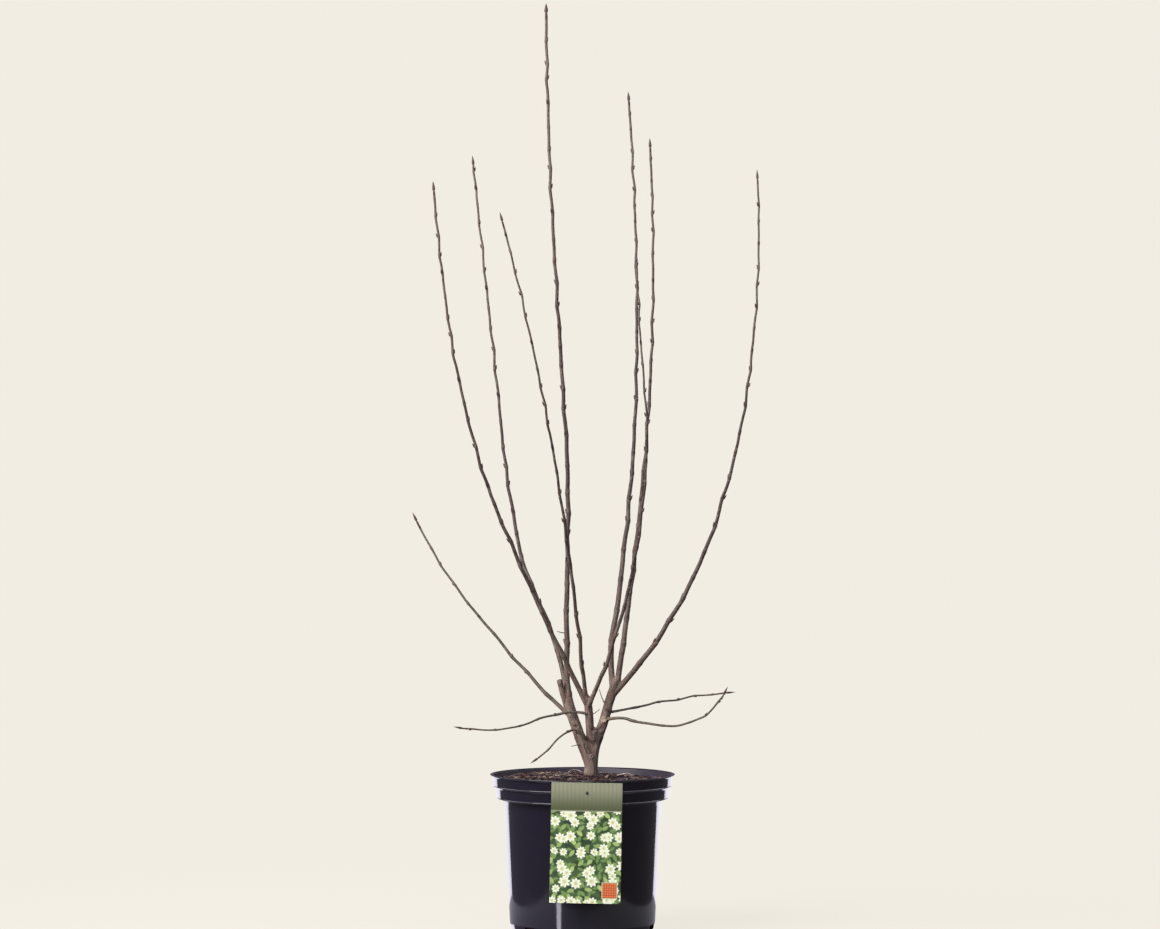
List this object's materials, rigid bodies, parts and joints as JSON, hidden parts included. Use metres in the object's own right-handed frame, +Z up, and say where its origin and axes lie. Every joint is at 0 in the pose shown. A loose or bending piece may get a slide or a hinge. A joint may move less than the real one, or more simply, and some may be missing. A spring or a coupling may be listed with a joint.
{
  "type": "potted evereste crabapple tree, bare in winter",
  "caption": "Young leafless fruit tree with upright budded shoots on a short pruned trunk, standing in a round black nursery pot of bark compost, with a picture card hooked over the rim.",
  "frame": {"origin": "centre of the pot's flat underside, on the surface that the pot stands on", "axes": "+Z up along the trunk, -Y towards the front, where the card hangs, +X to the viewer's right"},
  "size_m": [0.5238, 0.3191, 1.397],
  "materials": {
    "pot": "glossy black moulded plastic",
    "compost": "moist bark compost",
    "label": "printed plastic card",
    "bark": "grey-brown bark",
    "shoots": "smooth red-brown young bark with buds",
    "twigs": "grey-olive twig bark with buds"
  },
  "bodies": {
    "root": {"pot": "pot", "compost": "compost", "label": "label", "trunk": "bark", "bough_left": "bark", "bough_centre": "bark", "bough_right": "bark", "cut_stub": "bark", "shoot_leader": "shoots", "shoot_far_left": "shoots", "shoot_back_left": "shoots", "shoot_front": "shoots", "shoot_back": "shoots", "shoot_right": "shoots", "shoot_front_right": "shoots", "shoot_far_right": "shoots", "twig_left_rising": "twigs", "twig_left_level": "twigs", "twig_left_drooping": "twigs", "twig_right_level": "twigs", "twig_right_arching": "twigs"}
  },
  "joints": []
}
